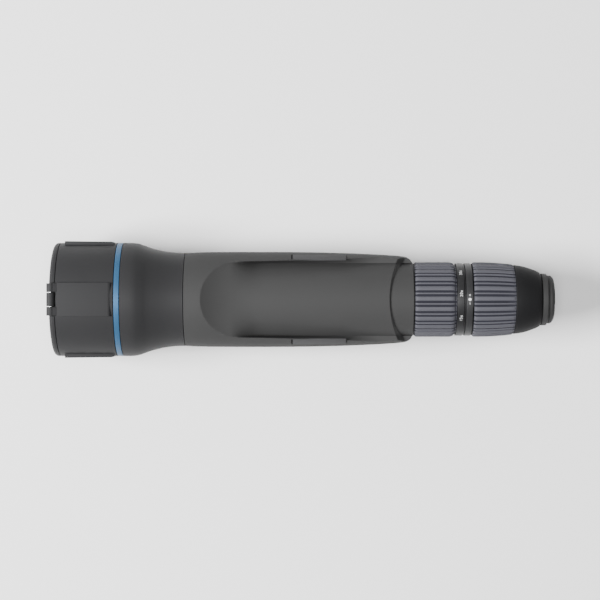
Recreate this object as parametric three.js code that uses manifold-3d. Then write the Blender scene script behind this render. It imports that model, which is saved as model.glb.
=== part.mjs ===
// Straight 15-30x50 spotting scope with a flip-up cover, zoom and focus rings and a twist-up eyecup.
// Millimetres, +Z up. The optical axis runs along +X, from the objective to the eyepiece.
// The scope stands on its tripod foot, and the origin is on the ground below its middle.

import * as THREE from "three";
import { mergeVertices } from "three/addons/utils/BufferGeometryUtils.js";
import Module from "manifold-3d";

const wasm = await Module();
wasm.setup();

// ---------------------------------------------------------------- driving dimensions

const AXIS_HEIGHT = 36;          // optical axis above the foot's flat bottom
const GAP = 0.3;                 // between pieces that touch
const SEGMENTS = 32;             // facets round an outer turned piece
const INNER_SEGMENTS = 20;       // facets round a piece inside

const HOOD = { front: -130.9, rear: -99.9, radius: 31.15, bore: 28.2 };
const PAD = { halfWidth: 8.95, rise: 0.72, front: -128.2, topFront: -129.8, rear: -100.9 };
const COVER = { front: -134.3, rear: -131.2, plugRadius: 27.4, plugDepth: 2.6, edge: 1.6 };
const HINGE = { x: -133.1, z: 30.6, radius: 2.3, pin: 0.8, middle: 3.6, inner: 3.95, outer: 8.65 };
const ACCENT = { front: -99.6, rear: -96.8 };
const BELL = { front: -96.5, rear: -63.0 };
const GRIP = { front: -62.7, rear: 61.6 };
const SKIN = 2;                  // rubber armour
const CASING_BORE = 15;

const SCOOP = { front: -53.9, ramp: 29.4, crest: 26.1, floor: 20.2, rise: 0.016, end: 48.2 };
const FLOOR_CROWN = 22.4;        // radius of the scoop floor's section
const FLOOR_HALF = 19.8;         // half-width of the scoop floor
const RIM = { start: -34.6, half: 20.6, widen: 0.012, flare: 0.00023 };   // where the scoop's walls end
const SADDLE = { bend: 5.1, half: 22.2, fall: 0.95, shoulder: 5.7 };       // face behind the scoop floor

const COLLAR = { front: 44.5, seat: 46.5, rear: 61.9, radius: 20.35, bore: 17.2 };
const RAIL = { front: 50.3, rear: 120, inner: 15.6, outer: 16.9 };   // fixed eyepiece tube
const GUIDE = { front: 47, rear: 100, inner: 11.9, outer: 13.2 };    // straight-slotted tube
const CAM = { front: 51, rear: 97.7, inner: 13.6, outer: 15 };       // helically slotted tube
const SLEEVE = { inner: 17.2, outer: 18.6 };                         // metal rings below the grips
const ZOOM = { front: 62.2, rear: 83.6, end: 88.7 };
const SCALE = { front: 85.2, rear: 88.6, radius: 19.96 };
const INDEX = { front: 89.9, rear: 93.5, radius: 19.96 };
const FOCUS = { front: 94.1, rear: 116.9 };
const RIBS = { count: 22, radius: 20.5, root: 19.85, wide: 9.4 };

const ZOOM_RANGE = [-30.5, 47];      // degrees either side of the resting magnification
const FOCUS_RANGE = [-150, 150];
const FRONT_PITCH = 5.5;             // carriage travel per radian of zoom
const REAR_PITCH = -3.6;
const FOCUS_PITCH = 0.764;
const PIN_RADIUS = 1.2;
const SLOT_HALF = 1.5;

const SHELL = { front: 117.2, rear: 131.7 };
const EYECUP = { front: 132.1, rear: 138.9, radius: 14.25 };

const FOOT = { front: -33, rear: 27, half: 13, socket: -3 };
const FOOT_SCREWS = { foot_screw_front: -26, foot_screw_rear: 20 };
const PANEL = { front: -4, rear: 25, y: 23.05, z: 11.9, tilt: 58, width: 5.4 };

// ---------------------------------------------------------------- finishes

const finish = (color, roughness, metalness) => ({ color, roughness, metalness });
const RUBBER = finish(0x4a4b4c, 0.75, 0);
const SATIN = finish(0x3f4042, 0.5, 0.1);
const BLUE = finish(0x4f7390, 0.4, 0.6);
const GRIP_RUBBER = finish(0x6a6b72, 0.7, 0);
const BLACK = finish(0x1c1c1d, 0.4, 0.3);
const ALUMINIUM = finish(0x2b2c2e, 0.45, 0.9);
const BRASS = finish(0xb9974f, 0.35, 1);
const STEEL = finish(0x9a9c9f, 0.3, 1);
const GLASS = finish(0x9fb8b0, 0.05, 0);
const SEAL = finish(0x161616, 0.85, 0);
const LABEL = finish(0x55565a, 0.6, 0.1);

// ---------------------------------------------------------------- solids

function toSolid(geometry) {
  const bare = geometry.index ? geometry.toNonIndexed() : geometry.clone();
  for (const name of Object.keys(bare.attributes)) {
    if (name !== "position") bare.deleteAttribute(name);
  }
  const welded = mergeVertices(bare, 1e-4);
  const corners = welded.index.array;
  const outward = [];
  const inward = [];
  for (let i = 0; i < corners.length; i += 3) {
    const [a, b, c] = [corners[i], corners[i + 1], corners[i + 2]];
    if (a === b || b === c || c === a) continue;
    outward.push(a, b, c);
    inward.push(a, c, b);
  }
  const vertProperties = Float32Array.from(welded.attributes.position.array);
  const build = (triangles) =>
    new wasm.Manifold(new wasm.Mesh({ numProp: 3, vertProperties, triVerts: Uint32Array.from(triangles) }));
  const shape = build(outward);
  return shape.volume() > 0 ? shape : build(inward);
}

function toGeometry(shape) {
  const mesh = shape.getMesh();
  const geometry = new THREE.BufferGeometry();
  geometry.setAttribute("position", new THREE.BufferAttribute(Float32Array.from(mesh.vertProperties), 3));
  geometry.setIndex(new THREE.BufferAttribute(Uint32Array.from(mesh.triVerts), 1));
  geometry.computeVertexNormals();
  return geometry;
}

// A turned solid about the optical axis. Points are [x, radius]; a profile that leaves the axis is closed.
function turned(points, segments = SEGMENTS) {
  const closed = points[0][1] > 0 || points.at(-1)[1] > 0;
  const loop = closed ? [...points, points[0]] : points;
  const profile = loop.map(([x, radius]) => new THREE.Vector2(radius, x));
  return toSolid(new THREE.LatheGeometry(profile, segments).rotateZ(-Math.PI / 2));
}

// A plain tube or, with no bore, a disc.
function tube(front, rear, outer, inner = 0, segments = SEGMENTS) {
  return turned([[front, inner], [front, outer], [rear, outer], [rear, inner]], segments);
}

function block(x0, x1, y0, y1, z0, z1) {
  const box = new THREE.BoxGeometry(x1 - x0, y1 - y0, z1 - z0);
  return toSolid(box.translate((x0 + x1) / 2, (y0 + y1) / 2, (z0 + z1) / 2));
}

// An outline of [x, z] points drawn out along Y.
function drawnAlongY(outline, y0, y1) {
  const shape = new THREE.Shape(outline.map(([x, z]) => new THREE.Vector2(x, z)));
  const geometry = new THREE.ExtrudeGeometry(shape, { depth: y1 - y0, bevelEnabled: false });
  return toSolid(geometry.rotateX(Math.PI / 2).translate(0, y1, 0));
}

function rodAlongY(x, z, radius, y0, y1, sides = 20) {
  const rod = new THREE.CylinderGeometry(radius, radius, y1 - y0, sides);
  return toSolid(rod.translate(x, (y0 + y1) / 2, z));
}

function rodAlongZ(x, y, radius, z0, z1, sides = 20) {
  const rod = new THREE.CylinderGeometry(radius, radius, z1 - z0, sides);
  return toSolid(rod.rotateX(Math.PI / 2).translate(x, y, (z0 + z1) / 2));
}

// The point at an angle from the top, turning by the right-hand rule about +X.
const roundAxis = (x, radius, degrees) => {
  const turn = THREE.MathUtils.degToRad(degrees);
  return new THREE.Vector3(x, -radius * Math.sin(turn), radius * Math.cos(turn));
};

// A radial rod at a station x and an angle from the top.
function radialRod(x, degrees, radius, inner, outer, sides = 16) {
  const rod = new THREE.CylinderGeometry(radius, radius, outer - inner, sides);
  rod.rotateX(Math.PI / 2).translate(x, 0, (inner + outer) / 2);
  return toSolid(rod.rotateX(THREE.MathUtils.degToRad(degrees)));
}

// A closed skin over rings of points that all have the same count. The cap is a list of triangles.
function lofted(rings, cap) {
  const count = rings[0].length;
  const triangles = [];
  for (let i = 0; i < rings.length - 1; i += 1) {
    for (let j = 0; j < count; j += 1) {
      const k = (j + 1) % count;
      const [a, b, c, d] = [i * count + j, i * count + k, (i + 1) * count + k, (i + 1) * count + j];
      triangles.push(a, b, c, a, c, d);
    }
  }
  const last = (rings.length - 1) * count;
  for (const [a, b, c] of cap) {
    triangles.push(a, c, b, last + a, last + b, last + c);
  }
  const geometry = new THREE.BufferGeometry().setFromPoints(rings.flat());
  geometry.setIndex(triangles);
  return toSolid(geometry);
}

// A slot cutter that winds round the axis, moving by pitch millimetres per radian.
function windingSlot(x, pitch, from, to, inner, outer, halfWidth = SLOT_HALF) {
  const steps = Math.ceil(Math.abs(to - from) / 12);
  const rings = [];
  for (let i = 0; i <= steps; i += 1) {
    const angle = from + ((to - from) * i) / steps;
    const middle = x + pitch * THREE.MathUtils.degToRad(angle - from);
    rings.push([
      roundAxis(middle - halfWidth, inner, angle),
      roundAxis(middle + halfWidth, inner, angle),
      roundAxis(middle + halfWidth, outer, angle),
      roundAxis(middle - halfWidth, outer, angle),
    ]);
  }
  return lofted(rings, [[0, 1, 2], [0, 2, 3]]);
}

// The slot that keeps a pin at one angle while the slotted ring turns through its range.
function followerSlot(x, angle, pitch, range, inner, outer) {
  const margin = 8;
  const from = angle - range[1] - margin;
  const to = angle - range[0] + margin;
  const start = x + pitch * THREE.MathUtils.degToRad(angle - from);
  return windingSlot(start, -pitch, from, to, inner, outer);
}

const scope = new THREE.Group();
scope.position.set(-(HINGE.x - HINGE.radius + EYECUP.rear) / 2, 0, AXIS_HEIGHT);

function add(name, shape, look) {
  const material = new THREE.MeshStandardMaterial(look);
  const mesh = new THREE.Mesh(toGeometry(shape), material);
  mesh.name = name;
  scope.add(mesh);
}

// ---------------------------------------------------------------- outer body profile

const bodyCurve = new THREE.CatmullRomCurve3(
  [
    [-96.5, 31.15], [-92, 31.13], [-88.9, 30.75], [-85.8, 29.8], [-82.5, 28.55], [-79, 27.55],
    [-74, 26.45], [-69, 25.8], [-62.7, 25.58], [-54, 25.97], [-41, 26.13], [-14, 26.15],
    [8, 25.93], [30, 25.3], [49.5, 24.31], [56, 23.7],
  ].map(([x, radius]) => new THREE.Vector3(x, radius, 0)),
);

function bodyProfile() {
  const points = bodyCurve.getPoints(13).map((point) => [point.x, point.y]);
  const roundedEnd = [[58.4, 23.2], [60.2, 22.2], [61.2, 20.9], [GRIP.rear, 19.4]];
  return [...points, ...roundedEnd];
}

// ---------------------------------------------------------------- scoop

const bodyPoints = bodyProfile();

function bodyRadiusAt(x) {
  const next = Math.max(1, bodyPoints.findIndex(([station]) => station >= x));
  const [[x0, r0], [x1, r1]] = [bodyPoints[next - 1], bodyPoints[next]];
  return r0 + ((r1 - r0) * (x - x0)) / (x1 - x0);
}

// Half the distance between the tops of the scoop's two walls.
function rimHalf(x) {
  const past = x - RIM.start;
  return RIM.half + RIM.widen * past + RIM.flare * past * Math.abs(past);
}

// A ramp that eases onto a crowned floor, with a wall on each side when the offset is 0.
function scoopHeight(x, y, offset) {
  const along = THREE.MathUtils.clamp((x - SCOOP.front) / SCOOP.ramp, 0, 1);
  const ramp = (SCOOP.crest - SCOOP.floor) * (1 - along) ** 2.4;
  const rise = Math.max(0, x - SCOOP.front - SCOOP.ramp) * SCOOP.rise;
  const crown = 0.36 + 0.64 * THREE.MathUtils.smoothstep(x, -38, -20);
  const radius = FLOOR_CROWN - offset;
  const across = Math.min(Math.abs(y), FLOOR_HALF, radius);
  const drop = (radius - Math.sqrt(radius ** 2 - across ** 2)) * crown;
  const floor = SCOOP.floor - offset + ramp + rise - drop;
  if (offset > 0 || Math.abs(y) <= FLOOR_HALF) return floor;
  const rim = Math.sqrt(Math.max(0, bodyRadiusAt(x) ** 2 - rimHalf(x) ** 2));
  const share = THREE.MathUtils.clamp((Math.abs(y) - FLOOR_HALF) / (rimHalf(x) - FLOOR_HALF), 0, 1);
  return floor + Math.max(0, rim - floor) * share;
}

// How far the scoop's rear end lies behind its middle, at a distance from the middle.
const rearBend = (y) => SADDLE.bend * Math.min(1, Math.abs(y) / SADDLE.half) ** 2;

// Behind the floor a steep face falls to the collar, with a shoulder beside it.
function topOfBody(x, y, offset) {
  const end = SCOOP.end + rearBend(y);
  if (x <= end) return scoopHeight(x, y, offset);
  const steep = scoopHeight(end, y, offset) - (x - end) * SADDLE.fall;
  return Math.max(SADDLE.shoulder - offset, steep);
}

// Everything above the scooped surface, lowered by an offset.
function scoopCutter(offset) {
  const ramp = [0, 0.1, 0.22, 0.36, 0.53, 0.74, 1].map((share) => SCOOP.front + SCOOP.ramp * share);
  const rows = [...ramp, 12, 36, SCOOP.end, 51.5, 54.5, 59, 68];
  const inner = [FLOOR_CROWN - offset - 7, FLOOR_CROWN - offset - 1.5];
  const outer = [6, 12, FLOOR_HALF - 3, FLOOR_HALF];
  const lid = 40;
  const rings = rows.map((row) => {
    const half = offset > 0 ? [9, ...inner, 22.5, 30] : [...outer, rimHalf(Math.min(row, 56)), 30];
    const ys = [...half.map((y) => -y).reverse(), 0, ...half];
    const bent = (y) => (row >= SCOOP.end && row < 68 ? row + rearBend(y) : row);
    return [
      new THREE.Vector3(row, ys[0], lid),
      ...ys.map((y) => new THREE.Vector3(bent(y), y, topOfBody(bent(y), y, offset))),
      new THREE.Vector3(row, ys.at(-1), lid),
    ];
  });
  const section = rings[0].map((point) => new THREE.Vector2(point.y, point.z));
  return lofted(rings, THREE.ShapeUtils.triangulateShape(section, []));
}

// The scooped body shrunk by an offset; stretch carries its ends past the real ones.
function bodySolid(offset, stretch = 0, segments = SEGMENTS) {
  const profile = bodyPoints.map(([x, radius]) => [x, radius - offset]);
  const [x0, r0] = profile[0];
  const [x1, r1] = profile.at(-1);
  const ends = [[x0 - stretch, 0], [x0 - stretch, r0], ...profile, [x1 + stretch, r1], [x1 + stretch, 0]];
  const whole = stretch ? ends : [[x0, 0], ...profile, [x1, 0]];
  return turned(whole, segments).subtract(scoopCutter(offset));
}

// ---------------------------------------------------------------- front end

const padTop = HOOD.radius + PAD.rise;

// A flat pad on the hood, at an angle from the top. The one at the top reaches the hinge.
function hoodPad(degrees) {
  const front = degrees === 0 ? PAD.topFront : PAD.front;
  const outline = [
    [front, HOOD.radius - 3.4], [front, padTop], [PAD.rear - 1.6, padTop - 0.35],
    [PAD.rear - 0.4, padTop - 1.2], [PAD.rear, HOOD.radius - 3.4],
  ];
  const slab = drawnAlongY(outline, -PAD.halfWidth, PAD.halfWidth);
  return slab.rotate([degrees, 0, 0]);
}

function barrel(y0, y1) {
  return rodAlongY(HINGE.x, HINGE.z, HINGE.radius, y0, y1);
}

function hoodWithLugs() {
  let hood = tube(HOOD.front, HOOD.rear, HOOD.radius, HOOD.bore);
  for (const degrees of [0, 90, 180, 270]) hood = hood.add(hoodPad(degrees));
  hood = hood.subtract(tube(HOOD.front - 2, HOOD.rear + 2, HOOD.bore));
  const clear = HINGE.radius + GAP;
  hood = hood.subtract(rodAlongY(HINGE.x, HINGE.z, clear, -HINGE.inner, HINGE.inner));
  for (const side of [-1, 1]) {
    const [y0, y1] = side > 0 ? [HINGE.inner, HINGE.outer] : [-HINGE.outer, -HINGE.inner];
    const web = drawnAlongY(
      [
        [HINGE.x, HINGE.z - HINGE.radius], [HOOD.front + 1.5, HINGE.z - HINGE.radius],
        [HOOD.front + 2.4, padTop], [HINGE.x + 1.4, HINGE.z + 1.8],
      ],
      y0,
      y1,
    );
    hood = hood.add(barrel(y0, y1)).add(web);
  }
  return hood.subtract(rodAlongY(HINGE.x, HINGE.z, HINGE.pin + GAP, -HINGE.outer - 1, HINGE.outer + 1));
}

function lensCover() {
  const { front, rear, edge, plugRadius, plugDepth } = COVER;
  const outer = HOOD.radius;
  let cover = turned([
    [front, 0], [front, outer - edge], [front + 0.5, outer - 0.45], [front + edge, outer], [rear, outer],
    [rear, plugRadius], [rear + plugDepth, plugRadius], [rear + plugDepth, plugRadius - 1.6],
    [rear, plugRadius - 1.6], [rear, 0],
  ]);
  const lugClear = HINGE.outer + 0.5;
  cover = cover.subtract(block(front - 2, rear + 0.1, -lugClear, lugClear, HINGE.z - 3.4, HINGE.z + 4));
  const web = block(HINGE.x - 1.2, HINGE.x + 1.6, -HINGE.middle, HINGE.middle, HINGE.z - 5, HINGE.z);
  cover = cover.add(barrel(-HINGE.middle, HINGE.middle)).add(web);
  return cover.subtract(rodAlongY(HINGE.x, HINGE.z, HINGE.pin + GAP, -HINGE.outer, HINGE.outer));
}

add("objective_hood", hoodWithLugs(), SATIN);
add("hinge_pin", rodAlongY(HINGE.x, HINGE.z, HINGE.pin, 0.3 - HINGE.outer, HINGE.outer - 0.3), STEEL);
add("lens_cover", lensCover(), SATIN);
add("cover_liner", tube(COVER.rear + GAP, COVER.rear + 1.3, COVER.plugRadius - 1.9), SEAL);
add("accent_ring", tube(ACCENT.front, ACCENT.rear, HOOD.radius, HOOD.bore), BLUE);

// ---------------------------------------------------------------- body

// A slab that lies on a shoulder of the body, between two heights over the shoulder's surface.
function onShoulder(side, grow, low, high) {
  const half = PANEL.width / 2 + grow;
  const slab = block(PANEL.front - grow, PANEL.rear + grow, -half, half, low, high);
  return slab.rotate([-PANEL.tilt * side, 0, 0]).translate([0, PANEL.y * side, PANEL.z]);
}

const screwHoles = Object.values(FOOT_SCREWS)
  .map((x) => rodAlongZ(x, 0, 1.7, -30, -12))
  .reduce((all, hole) => all.add(hole));

const armour = bodySolid(0).subtract(bodySolid(SKIN, 3));
const bell = armour.subtract(block(BELL.rear, 80, -40, 40, -40, 40));
let grip = armour.subtract(block(-110, GRIP.front, -40, 40, -40, 40));
grip = grip.subtract(tube(COLLAR.front - 2, COLLAR.rear + 5, COLLAR.radius + GAP)).subtract(screwHoles);
for (const side of [-1, 1]) grip = grip.subtract(onShoulder(side, GAP, -0.7 - GAP, 6));

add("objective_bell", bell, SATIN);
add("grip_armour", grip, RUBBER);

// The cast body: it carries the objective in its mouth and the eyepiece tube in its collar.
function bodyCasing() {
  const { front, seat, rear, radius, bore } = COLLAR;
  const mouth = tube(-108.5, BELL.front + 1, 27.9, 20, 24);
  const shell = bodySolid(SKIN + GAP, 0, 24).subtract(block(rear - 1.5, 80, -40, 40, -40, 40));
  const solid = shell.add(mouth).add(tube(front, rear, radius));
  const hollow = turned([
    [-112, 0], [-112, 27.1], [-92.2, 27.1], [-89, 26.3], [-82.5, 24.2], [-74, 22], [-60, 20.8],
    [-52, 17.5], [-44, CASING_BORE], [seat, CASING_BORE], [seat, bore], [rear + 3, bore], [rear + 3, 0],
  ], 24);
  let casing = solid.subtract(hollow).subtract(screwHoles);
  for (const side of [-1, 1]) casing = casing.subtract(onShoulder(side, 0.7, -1.4, 6));
  return casing;
}

add("body_casing", bodyCasing(), ALUMINIUM);

add("side_panel_right", onShoulder(1, 0, -0.7, -0.1), LABEL);
add("side_panel_left", onShoulder(-1, 0, -0.7, -0.1), LABEL);

// ---------------------------------------------------------------- objective

const glass = (front, rear, radius, bulgeFront, bulgeRear, segments = 24) => {
  const face = (x, bulge) =>
    [0, 0.5, 0.8, 1].map((share) => [x + bulge * (1 - share * share), radius * share]);
  return turned([...face(front, bulgeFront), ...face(rear, bulgeRear).reverse()], segments);
};

add("objective_crown_lens", glass(-104.6, -101.8, 25.3, -3.2, 2.4), GLASS);
add("objective_flint_lens", glass(-100.4, -94.5, 25.3, 2.4, -0.5), GLASS);
add("objective_spacer", tube(-101.5, -100.7, 25.3, 24.6, 24), ALUMINIUM);
add(
  "objective_cell",
  turned([[-104.6, 25.6], [-104.6, 26.7], [-92.8, 26.7], [-92.8, 24], [-94.2, 24], [-94.2, 25.6]], 24),
  ALUMINIUM,
);
add("objective_retaining_ring", tube(-106.3, -104.9, 26.7, 24.9, 24), BLACK);
add("light_baffle", tube(-78, -77, 22.4, 17, INNER_SEGMENTS), BLACK);

const seal = (x, radius, section) => {
  const ring = new THREE.TorusGeometry(radius, section, 6, 24).rotateY(Math.PI / 2);
  return toSolid(ring.translate(x, 0, 0));
};
add("objective_o_ring", seal(-107.2, 26.3, 0.5), SEAL);

// ---------------------------------------------------------------- foot

function tripodFoot() {
  const { front, rear, half, socket } = FOOT;
  const floor = -AXIS_HEIGHT;
  const side = drawnAlongY(
    [[front, floor], [rear, floor], [rear, floor + 3], [rear - 7, -20], [front + 7, -20], [front, floor + 3]],
    -half,
    half,
  );
  const corner = (x, y) => rodAlongZ(x, y, 6, floor, -19, 24);
  let plan = block(front, rear, 6 - half, half - 6, floor, -19);
  plan = plan.add(block(front + 6, rear - 6, -half, half, floor, -19));
  for (const x of [front + 6, rear - 6]) {
    for (const y of [6 - half, half - 6]) plan = plan.add(corner(x, y));
  }
  let foot = side.intersect(plan).subtract(bodySolid(-GAP, 1));
  foot = foot.subtract(rodAlongZ(socket, 0, 5.8, floor - 1, floor + 8.3));
  for (const x of Object.values(FOOT_SCREWS)) {
    foot = foot.subtract(rodAlongZ(x, 0, 1.7, floor - 1, -19));
    foot = foot.subtract(rodAlongZ(x, 0, 3, floor - 1, floor + 3.8));
  }
  return foot;
}

add("tripod_foot", tripodFoot(), RUBBER);
const bushing = rodAlongZ(FOOT.socket, 0, 5.5, 0.4 - AXIS_HEIGHT, 8 - AXIS_HEIGHT, 24);
add("tripod_bushing", bushing.subtract(rodAlongZ(FOOT.socket, 0, 2.75, -40, 6 - AXIS_HEIGHT)), BRASS);
for (const [name, x] of Object.entries(FOOT_SCREWS)) {
  const head = rodAlongZ(x, 0, 2.7, 1 - AXIS_HEIGHT, 3.5 - AXIS_HEIGHT);
  const drive = rodAlongZ(x, 0, 1.3, -AXIS_HEIGHT, 2.3 - AXIS_HEIGHT, 6);
  add(name, head.add(rodAlongZ(x, 0, 1.4, 3 - AXIS_HEIGHT, -21, 12)).subtract(drive), STEEL);
}

// ---------------------------------------------------------------- zoom drive

const FRONT_PIN = { x: 60, angle: 90 };
const REAR_PIN = { x: 82, angle: -90 };
const DRIVE = { x: 72, angle: 180 };
const FOCUS_PIN = { x: 107, angle: 90 };

// A straight slot along the axis at an angle, with square ends.
const straightSlot = (x0, x1, angle, inner, outer) =>
  block(x0, x1, -SLOT_HALF, SLOT_HALF, inner, outer).rotate([angle, 0, 0]);

const travel = (pitch, range) => range.map((degrees) => pitch * THREE.MathUtils.degToRad(degrees));

// The straight slot a pin runs in while its ring turns through a range.
function pinSlot(pin, pitch, range, inner, outer) {
  const ends = travel(pitch, range);
  const reach = SLOT_HALF + 0.5;
  return straightSlot(pin.x + Math.min(...ends) - reach, pin.x + Math.max(...ends) + reach, pin.angle, inner, outer);
}

const guide = turned([
  [GUIDE.front, GUIDE.inner], [GUIDE.front, RAIL.outer], [GUIDE.front + 3, RAIL.outer],
  [GUIDE.front + 3, GUIDE.outer], [GUIDE.rear, GUIDE.outer], [GUIDE.rear, GUIDE.inner],
], 24)
  .subtract(pinSlot(FRONT_PIN, FRONT_PITCH, ZOOM_RANGE, 10, 14.2))
  .subtract(pinSlot(REAR_PIN, REAR_PITCH, ZOOM_RANGE, 10, 14.2));
add("erector_guide_tube", guide, ALUMINIUM);
add("field_stop", tube(97.8, 99.2, 11.6, 8, INNER_SEGMENTS), BLACK);

const camTube = tube(CAM.front, CAM.rear, CAM.outer, CAM.inner, 24)
  .subtract(followerSlot(FRONT_PIN.x, FRONT_PIN.angle, FRONT_PITCH, ZOOM_RANGE, 12.8, 15.8))
  .subtract(followerSlot(REAR_PIN.x, REAR_PIN.angle, REAR_PITCH, ZOOM_RANGE, 12.8, 15.8))
  .subtract(radialRod(DRIVE.x, DRIVE.angle, SLOT_HALF, 12, 16));
add("zoom_cam_tube", camTube, BRASS);

const rail = tube(RAIL.front, RAIL.rear, RAIL.outer, RAIL.inner, 24)
  .subtract(windingSlot(DRIVE.x, 0, DRIVE.angle + ZOOM_RANGE[0] - 7, DRIVE.angle + ZOOM_RANGE[1] + 7, 14.8, 17.8))
  .subtract(pinSlot(FOCUS_PIN, FOCUS_PITCH, FOCUS_RANGE, 14.5, 18));
add("eyepiece_tube", rail, ALUMINIUM);

const zoomRing = tube(ZOOM.front, ZOOM.end, SLEEVE.outer, SLEEVE.inner);
add("zoom_ring", zoomRing.subtract(radialRod(DRIVE.x, DRIVE.angle, SLOT_HALF, 16, 20)), ALUMINIUM);
add("zoom_drive_screw", radialRod(DRIVE.x, DRIVE.angle, PIN_RADIUS, 13.8, 18.5), STEEL);

// A ribbed sleeve, scaled by the taper at even stations and trimmed to an outer profile.
function ribbedSleeve(front, rear, taper, profile, bore) {
  const outline = [];
  const rib = (middle, width) => {
    for (const [offset, radius] of [[-width / 2, RIBS.root], [0.8 - width / 2, RIBS.radius],
      [width / 2 - 0.8, RIBS.radius], [width / 2, RIBS.root]]) {
      const turn = THREE.MathUtils.degToRad(middle + offset);
      outline.push(new THREE.Vector2(-radius * Math.cos(turn), radius * Math.sin(turn)));
    }
  };
  const pitch = 360 / RIBS.count;
  for (let i = 0; i < RIBS.count; i += 1) rib(i * pitch, RIBS.wide);
  const settings = { depth: rear - front, steps: taper.length - 1, bevelEnabled: false };
  const bars = new THREE.ExtrudeGeometry(new THREE.Shape(outline), settings);
  bars.rotateY(Math.PI / 2).translate(front, 0, 0);
  const place = bars.attributes.position;
  for (let i = 0; i < place.count; i += 1) {
    const station = Math.round(((place.getX(i) - front) / (rear - front)) * (taper.length - 1));
    place.setXYZ(i, place.getX(i), place.getY(i) * taper[station], place.getZ(i) * taper[station]);
  }
  const ribbed = toSolid(bars);
  return ribbed.intersect(turned(profile)).subtract(tube(front - 1, rear + 1, bore));
}

const gripBore = SLEEVE.outer + GAP;
add(
  "zoom_grip",
  ribbedSleeve(
    ZOOM.front,
    ZOOM.rear + 1.3,
    [1, 1],
    [[ZOOM.front, 0], [ZOOM.front, 20.6], [ZOOM.rear, 20.6], [ZOOM.rear + 1.3, 20], [ZOOM.rear + 1.3, 0]],
    gripBore,
  ),
  GRIP_RUBBER,
);
add("zoom_scale_ring", tube(SCALE.front, SCALE.rear, SCALE.radius, gripBore), BLACK);
add("index_ring", tube(INDEX.front, INDEX.rear, INDEX.radius, SLEEVE.inner), BLACK);

// ---------------------------------------------------------------- erector carriages

function carriage(prefix, pin, lensHalf) {
  const cell = turned([
    [pin.x - 5, 9.8], [pin.x - 5, 11.5], [pin.x + 5, 11.5], [pin.x + 5, 8.6], [pin.x + 3.6, 8.6],
    [pin.x + 3.6, 9.8],
  ], INNER_SEGMENTS);
  add(`${prefix}_cell`, cell.subtract(radialRod(pin.x, pin.angle, SLOT_HALF, 8, 13)), ALUMINIUM);
  add(`${prefix}_lens`, glass(pin.x - lensHalf, pin.x + lensHalf, 9.5, -1.2, 1.2, INNER_SEGMENTS), GLASS);
  add(`${prefix}_pin`, radialRod(pin.x, pin.angle, PIN_RADIUS, 10, 14.8, 12), STEEL);
}

carriage("erector_front", FRONT_PIN, 2);
carriage("erector_rear", REAR_PIN, 1.6);

// ---------------------------------------------------------------- focus and eyepiece

const groove = followerSlot(FOCUS_PIN.x, FOCUS_PIN.angle, FOCUS_PITCH, FOCUS_RANGE, 16.5, 18);
add("focus_ring", tube(FOCUS.front, FOCUS.rear - 0.3, SLEEVE.outer, SLEEVE.inner).subtract(groove), ALUMINIUM);
add(
  "focus_grip",
  ribbedSleeve(
    FOCUS.front,
    FOCUS.rear,
    [1, 0.992, 0.955],
    [[FOCUS.front, 0], [FOCUS.front, 21], [FOCUS.rear - 1, 21], [FOCUS.rear, 19.1], [FOCUS.rear, 0]],
    gripBore,
  ),
  GRIP_RUBBER,
);

const ocularCell = turned([
  [101, 13.5], [101, 15.3], [116.6, 15.3], [118.6, 9.7], [131, 9.7], [131, 8.8], [124.2, 8.8], [124.2, 7.6],
  [119.5, 7.6], [115.6, 12.6], [111.2, 12.6], [111.2, 13.5],
], 24);
add("ocular_cell", ocularCell.subtract(radialRod(FOCUS_PIN.x, FOCUS_PIN.angle, SLOT_HALF, 12, 17)), ALUMINIUM);
add("ocular_pin", radialRod(FOCUS_PIN.x, FOCUS_PIN.angle, PIN_RADIUS, 13.9, 17.7, 12), STEEL);
add("field_lens", glass(109.4, 110.6, 13.2, -1.6, 2.2), GLASS);
add("eye_lens", glass(124.5, 128.4, 8.5, -0.8, 1.2), GLASS);
add("ocular_retaining_ring", tube(128.8, 130.6, 8.5, 7.4, INNER_SEGMENTS), BLACK);

add(
  "eyepiece_shell",
  turned([
    [SHELL.front, SLEEVE.inner], [SHELL.front, 18.98], [120.4, 18.65], [123.7, 17.85], [126.5, 17],
    [129.2, 16], [130.8, 15.2], [SHELL.rear, 14.3], [SHELL.rear, 12.7], [124, 12.7], [120.4, 16],
    [120.4, SLEEVE.inner],
  ], 24),
  BLACK,
);

add("eyecup_carrier", tube(122, 128, 11.2, 10, 24), ALUMINIUM);
add("eyecup_sleeve", tube(121.3, 136.6, 12.3, 11.5), BLACK);
add(
  "eyecup_rubber",
  turned([
    [EYECUP.front, 12.6], [EYECUP.front, EYECUP.radius], [135, EYECUP.radius], [135.4, 13.2],
    [137.3, 13.2], [138.2, 12.5], [138.7, 11.7], [EYECUP.rear, 11.1],
    [EYECUP.rear, 10.2], [138.2, 9.9], [136.9, 10.4], [136.9, 12.6],
  ], 24),
  RUBBER,
);

export default scope;
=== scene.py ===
import math

import bmesh
import bpy
from mathutils import Matrix, Vector


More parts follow.
